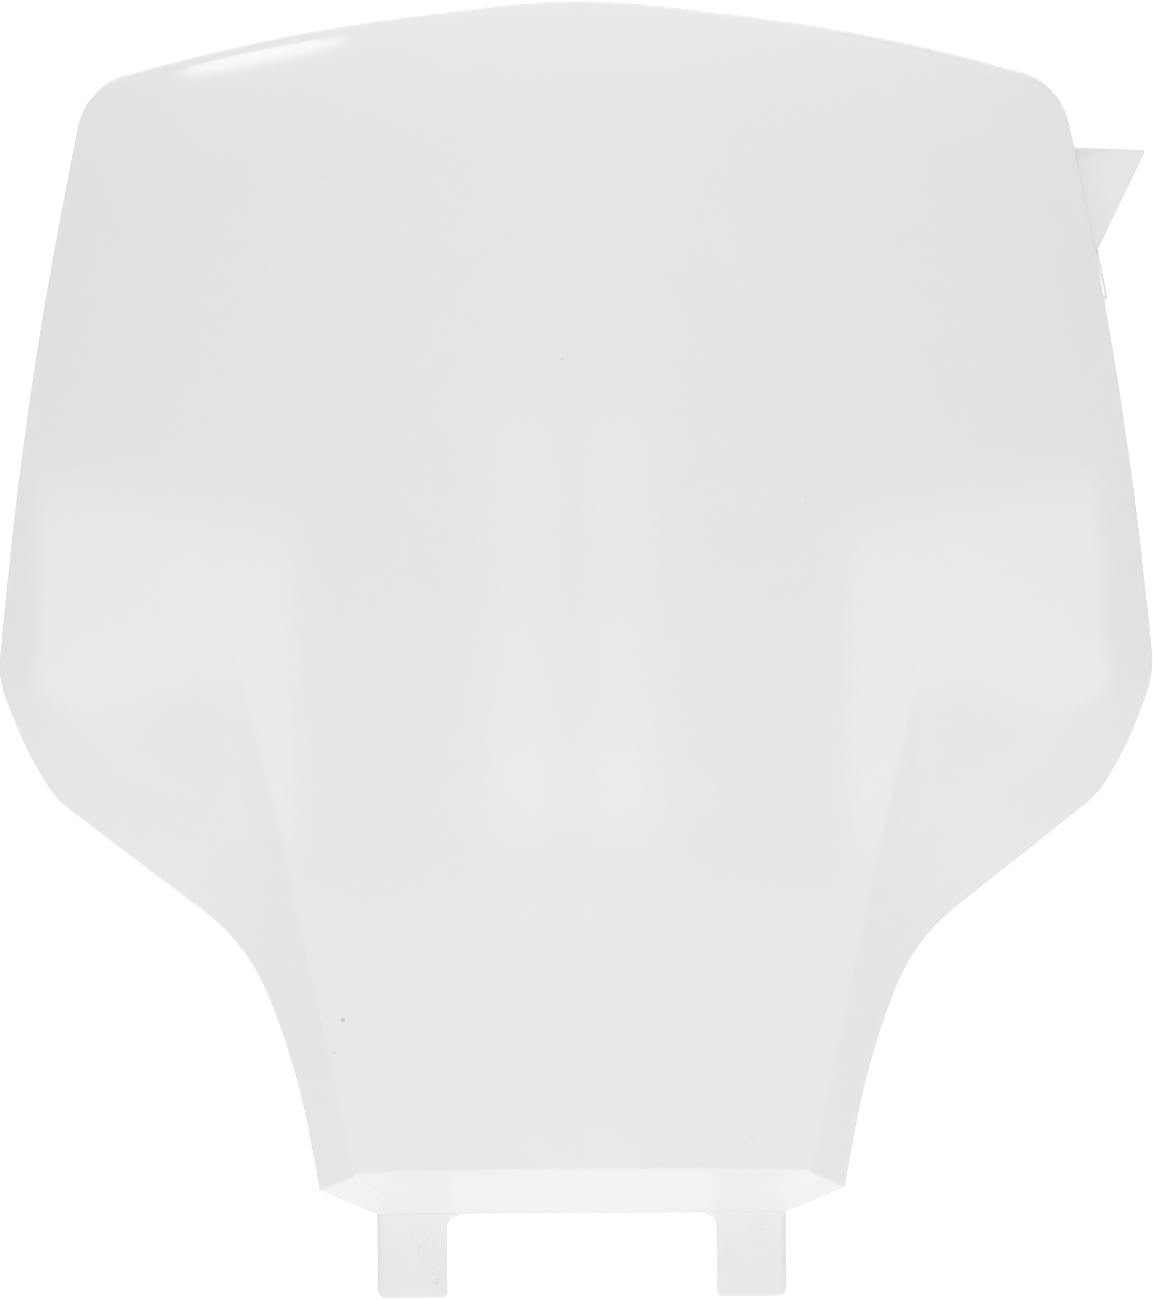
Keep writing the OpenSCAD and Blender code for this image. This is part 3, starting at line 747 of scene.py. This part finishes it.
sides = 64
lug_points = []
for reach in (lambda g: hole_r, lug_reach):
    for z in (-lug_h / 2, lug_h / 2):
        for g in np.linspace(0, 2 * math.pi, sides, endpoint=False):
            lug_points.append((reach(g) * math.cos(g), reach(g) * math.sin(g), z))
hole_low, hole_high, rim_low, rim_high = 0, sides, 2 * sides, 3 * sides
lug_faces = []
for k in range(sides):
    n = (k + 1) % sides
    lug_faces.append((hole_high + k, rim_high + k, rim_high + n, hole_high + n))
    lug_faces.append((hole_low + n, rim_low + n, rim_low + k, hole_low + k))
    lug_faces.append((rim_low + k, rim_low + n, rim_high + n, rim_high + k))
    lug_faces.append((hole_low + n, hole_low + k, hole_high + k, hole_high + n))
finish_piece(mesh_piece("fixing_lug", lug_points, lug_faces, bevel=0.4), plastic)

rib_low_z = -lug_h / 2 - rib_h
for name, x in (("lug_rib_right", rib_x), ("lug_rib_left", -rib_x)):
    rib_outline = [
        (float(-ahead(x, 0)) + wall / 2, 0),
        (-hole_r, 0),
        (float(-ahead(x, rib_low_z)) + wall + rib_toe, rib_low_z),
        (float(-ahead(x, rib_low_z)) + wall / 2, rib_low_z),
    ]
    rib = prism(name, rib_outline, x - rib_w / 2, x + rib_w / 2, lambda u, v, t: (t, u, v), bevel=0.3)
    finish_piece(rib, plastic)


# The hose guide on the viewer's right: a thin triangular wing moulded on the turned back rim, a
# strip below it and an open loop behind, into which the brake hose is pressed.
guide_top_z = 17.4
guide_tip_x = 119.1
guide_wing_h = 21.5
guide_h = 32.5
guide_w = 2
guide_set_back = 2.6
hose_r = 5
hose_loop_h = 3.4
guide_foot_z = guide_top_z - guide_wing_h
guide_low_z = guide_top_z - guide_h
guide_rim_x = float(rim_x(guide_top_z))
guide_back = float(-ahead(guide_rim_x, guide_top_z)) + guide_set_back
strip_out = 1
strip_slot = 0.5
slot_end = 0.6
guide_sunk = 1
tip_cut = 0.5
tip_drop = 0.55
lip_h = 0.8
lip_ahead = 0.7
lip_long = 9
lip_down = 0.05
loop_wall = 1.8
loop_in = 1.2
loop_down = 0.9
loop_behind = 0.15
loop_gap = hose_r * 1.24
loop_gap_turn = math.radians(20)
loop_x = guide_tip_x - loop_in - hose_r - loop_wall
loop_y = guide_back + loop_behind + loop_wall + hose_r

foot_rim_x = float(rim_x(guide_foot_z))
low_rim_x = float(rim_x(guide_low_z))
wing_outline = [
    (guide_rim_x - guide_sunk, guide_top_z),
    (guide_tip_x - tip_cut, guide_top_z - tip_drop),
    (guide_tip_x, guide_top_z - tip_drop - tip_cut),
    (foot_rim_x + strip_out, guide_foot_z),
    (foot_rim_x + strip_out, guide_foot_z - slot_end),
    (foot_rim_x - guide_sunk, guide_foot_z - slot_end),
]
strip_outline = [
    (foot_rim_x + strip_slot, guide_foot_z),
    (foot_rim_x + strip_out, guide_foot_z),
    (low_rim_x + strip_out, guide_low_z + strip_out),
    (low_rim_x, guide_low_z),
    (low_rim_x - guide_sunk, guide_low_z),
    (low_rim_x - guide_sunk, guide_low_z + strip_out + slot_end),
    (low_rim_x + strip_slot, guide_low_z + strip_out + slot_end),
]
guide_plates = (
    ("hose_guide_wing", wing_outline, 0.2),
    ("hose_guide_strip", strip_outline, 0.05),
)
for name, outline, bevel in guide_plates:
    plate = prism(name, outline, guide_back + guide_w, guide_back, lambda u, v, t: (u, t, v), bevel)
    finish_piece(plate, plastic)

lip_root_x = guide_rim_x - guide_sunk
lip_end_x = guide_rim_x + lip_long
lip_top = guide_top_z - lip_down
lip_rear = guide_back + guide_w / 4
lip_points = [
    (lip_root_x, guide_back - lip_ahead, lip_top),
    (lip_root_x, guide_back - lip_ahead, lip_top - lip_h),
    (lip_root_x, lip_rear, lip_top - lip_h),
    (lip_root_x, lip_rear, lip_top),
    (lip_end_x, guide_back, lip_top - tip_drop),
    (lip_end_x, lip_rear, lip_top - tip_drop),
]
lip_faces = [(0, 3, 2, 1), (0, 4, 5, 3), (1, 2, 5, 4), (0, 1, 4), (3, 5, 2)]
finish_piece(mesh_piece("hose_guide_lip", lip_points, lip_faces, bevel=0.08), plastic)


def loop_point(r, g):
    """The point at radius r and angle g round the hose."""
    return (loop_x + r * math.cos(g), loop_y + r * math.sin(g))


gap_half = math.asin(loop_gap / 2 / hose_r)
loop_angles = np.linspace(loop_gap_turn + gap_half, loop_gap_turn + 2 * math.pi - gap_half, 48)
loop_outline = [loop_point(hose_r + loop_wall, g) for g in loop_angles]
loop_outline += [loop_point(hose_r, g) for g in loop_angles[::-1]]
loop_top = guide_top_z - loop_down
loop_low = loop_top - hose_loop_h
hose_loop = prism("hose_loop", loop_outline, loop_low, loop_top, lambda u, v, t: (u, v, t), bevel=0.3)
finish_piece(hose_loop, plastic)


# The studio, in metres: a pale sweep of floor and backdrop, which keeps the plate's soft shadow,
# white air all round, soft boxes that light the plate, and white cards that only show in its
# gloss.
floor_z = -0.300
floor_front_y = -1.4
wall_y = 0.9
wall_top_z = 1.2
sweep_r = 0.4
sweep_half = 1.8
paper_color = (0.8, 0.8, 0.8, 1)
soft_light = 0.29
near_light = 0.4
far_light = 0.85
paper_near = 0.5
paper_far = 1.2
air_light = 0.14


def either_shader(tree, share, first, second):
    """The outcome of a Mix Shader node: the first shader where share is 0, the second where it is 1."""
    made = node(tree, "ShaderNodeMixShader")
    for socket, value in zip(made.inputs, (share, first.outputs[0], second.outputs[0])):
        tree.links.new(value, socket)
    return made.outputs[0]


def white_to_the_eye(tree, dim, bright, output):
    """Sends dim to the surface, and bright wherever the camera, gloss or glass looks straight at it."""
    rays = node(tree, "ShaderNodeLightPath")
    seen = rays.outputs["Is Camera Ray"]
    for name in ("Is Glossy Ray", "Is Transmission Ray"):
        seen = maths(tree, "MAXIMUM", seen, rays.outputs[name])
    tree.links.new(either_shader(tree, seen, dim, bright), output)


paper = bpy.data.materials.new("white_sweep")
paper.use_nodes = True
tree = paper.node_tree
tree.nodes.clear()

# The seen paper is dimmer close to the plate, so that the ledge doesn't mirror a glare.
distance = node(tree, "ShaderNodeVectorMath")
distance.operation = "LENGTH"
tree.links.new(node(tree, "ShaderNodeTexCoord").outputs["Object"], distance.inputs[0])
farness = between(tree, distance.outputs["Value"], low=paper_near, high=paper_far)
strength = maths(tree, "MULTIPLY_ADD", farness, far_light - near_light, near_light)
seen_glow = node(tree, "ShaderNodeEmission", Strength=strength)
soft_glow = node(tree, "ShaderNodeEmission", Strength=soft_light)
matt = node(tree, "ShaderNodeBsdfDiffuse", Color=paper_color)
lit_paper = node(tree, "ShaderNodeAddShader")
tree.links.new(matt.outputs[0], lit_paper.inputs[0])
white_to_the_eye(tree, soft_glow, seen_glow, lit_paper.inputs[1])

# The paper is seen through from its back, so that it doesn't hide the plate from behind.
backfacing = node(tree, "ShaderNodeNewGeometry").outputs["Backfacing"]
nothing = node(tree, "ShaderNodeBsdfTransparent")
one_sided = either_shader(tree, backfacing, lit_paper, nothing)
tree.links.new(one_sided, node(tree, "ShaderNodeOutputMaterial").inputs["Surface"])

bend_y = wall_y - sweep_r
profile = [(floor_front_y, floor_z), (bend_y, floor_z)]
for g in np.linspace(0, math.pi / 2, 17)[1:]:
    profile.append((bend_y + sweep_r * math.sin(g), floor_z + sweep_r * (1 - math.cos(g))))
profile.append((wall_y, wall_top_z))
sweep_points = [(x, y, z) for x in (-sweep_half, sweep_half) for y, z in profile]
sweep_faces = [(k, k + len(profile), k + 1 + len(profile), k + 1) for k in range(len(profile) - 1)]
mesh = bpy.data.meshes.new("sweep")
mesh.from_pydata(sweep_points, [], sweep_faces)
sweep = bpy.data.objects.new("sweep", mesh)
bpy.context.scene.collection.objects.link(sweep)
sweep.data.polygons.foreach_set("use_smooth", [True] * len(sweep.data.polygons))
sweep.data.materials.append(paper)

world = bpy.data.worlds.new("studio_air")
bpy.context.scene.world = world
world.use_nodes = True
tree = world.node_tree
tree.nodes.clear()
air = node(tree, "ShaderNodeBackground", Color=(1, 1, 1, 1), Strength=air_light)
white_air = node(tree, "ShaderNodeBackground", Color=(1, 1, 1, 1), Strength=1)
white_to_the_eye(tree, air, white_air, node(tree, "ShaderNodeOutputWorld").inputs["Surface"])


def soft_box(name, place, aim, width, height, power, roll=0, shape="RECTANGLE"):
    """A soft box at place, turned to aim and rolled some degrees, in metres and watts."""
    data = bpy.data.lights.new(name, "AREA")
    data.shape = shape
    data.size = width
    data.size_y = height
    data.energy = power
    lamp = bpy.data.objects.new(name, data)
    lamp.location = place
    direction = np.array(aim, float) - place
    facing = mathutils.Vector(direction).to_track_quat("-Z", "Y")
    lamp.rotation_euler = (facing @ mathutils.Quaternion((0, 0, 1), math.radians(roll))).to_euler()
    bpy.context.scene.collection.objects.link(lamp)
    return lamp


# Boxes that light the plate without showing in its gloss.
plate_middle = (0, 0, -0.087)
lamp_far = 1.4
low_z = -0.285
floor_aim = (0, 0, -0.1)


def far_place(azimuth, elevation):
    """A place lamp_far from the plate's middle, azimuth degrees to the right of the front."""
    a, e = math.radians(azimuth), math.radians(elevation)
    return (
        lamp_far * math.sin(a) * math.cos(e),
        -lamp_far * math.cos(a) * math.cos(e),
        plate_middle[2] + lamp_far * math.sin(e),
    )


fill_boxes = [
    soft_box("top_front_box", far_place(0, 50), plate_middle, 0.8, 0.5, 2.36),
    soft_box("level_front_box", far_place(0, 15), plate_middle, 0.6, 0.3, 1.2),
    soft_box("low_front_box", (0, -1.7, -0.2), plate_middle, 0.8, 0.15, 3.3),
    soft_box("ledge_box", (0, -0.02, low_z), (0, -0.02, 0), 0.2, 0.05, 0.007),
    soft_box("rear_top_box", (0, 0.05, 0.6), (0, 0, 0), 0.5, 0.2, 0.4),
]
for side_name, way in (("left", -1), ("right", 1)):
    fill_boxes += [
        soft_box(side_name + "_top_box", far_place(way * 75, 75), plate_middle, 0.5, 0.5, 3.55),
        soft_box(side_name + "_shoulder_box", far_place(way * 60, 55), plate_middle, 0.4, 0.4, 1.7),
        soft_box(side_name + "_level_box", far_place(way * 45, 20), plate_middle, 0.4, 0.4, 0.23),
        soft_box(side_name + "_lower_box", far_place(way * 45, -15), plate_middle, 0.4, 0.4, 1.95),
        soft_box(side_name + "_side_box", far_place(way * 75, -8), plate_middle, 0.3, 0.3, 1.1),
        soft_box(side_name + "_floor_box", (way * 0.3, -0.45, low_z), floor_aim, 0.3, 0.2, 0.24),
        soft_box(side_name + "_wide_floor_box", (way * 0.8, -0.3, low_z), floor_aim, 0.3, 0.2, 1.0),
    ]
for lamp in fill_boxes:
    lamp.visible_glossy = False

# White cards that show in the gloss and don't light it: two tall strips and a low band in
# front, one card at each side, whose lower edge draws the arc across a wing, and a small
# bright one above, whose spot lies on the rounding at the upper left.
strip_x = 0.235
strip_z = 0.07
side_card_z = -0.06
band_z = -0.08
bright_spot = (-0.064, -0.005, 0.035)
cards = [
    soft_box("top_left_card", (-0.925, -0.61, 0.96), bright_spot, 0.58, 0.10, 0.62, 23, "ELLIPSE"),
    soft_box("low_band_card", (0, -2, band_z), (0, 0, band_z), 3.6, 0.38, 0.9),
]
for side_name, way in (("left", -1), ("right", 1)):
    strip_aim = (way * strip_x, 0, strip_z)
    side_place = (way * 1.39, -0.8, side_card_z)
    cards += [
        soft_box(side_name + "_strip_card", (way * strip_x, -1.9, strip_z), strip_aim, 0.3, 0.7, 0.45),
        soft_box(side_name + "_side_card", side_place, (0, 0, side_card_z), 1.2, 0.44, 2.1),
    ]
for card in cards:
    card.visible_diffuse = False

# The camera stands a little to the left of the front, level with the plate's middle. The lens
# gives one pixel of the photograph's 1300 rows the width that it has on the plate.
camera_turn = math.radians(1.25)
camera_roll = math.radians(0.3)
camera_far = 1.4
camera_aim = (0, 0.018, -0.0869)
sensor_w = 36
pixel_on_plate = 0.0002086
pixel_rows = 1300
data = bpy.data.cameras.new("camera")
data.sensor_width = sensor_w
data.lens = sensor_w * camera_far / pixel_on_plate / pixel_rows
camera = bpy.data.objects.new("camera", data)
camera.location = (
    camera_aim[0] - camera_far * math.sin(camera_turn),
    camera_aim[1] - camera_far * math.cos(camera_turn),
    camera_aim[2],
)
camera.rotation_euler = (math.pi / 2, camera_roll, -camera_turn)
bpy.context.scene.collection.objects.link(camera)
bpy.context.scene.camera = camera
bpy.context.scene.view_settings.view_transform = "Standard"
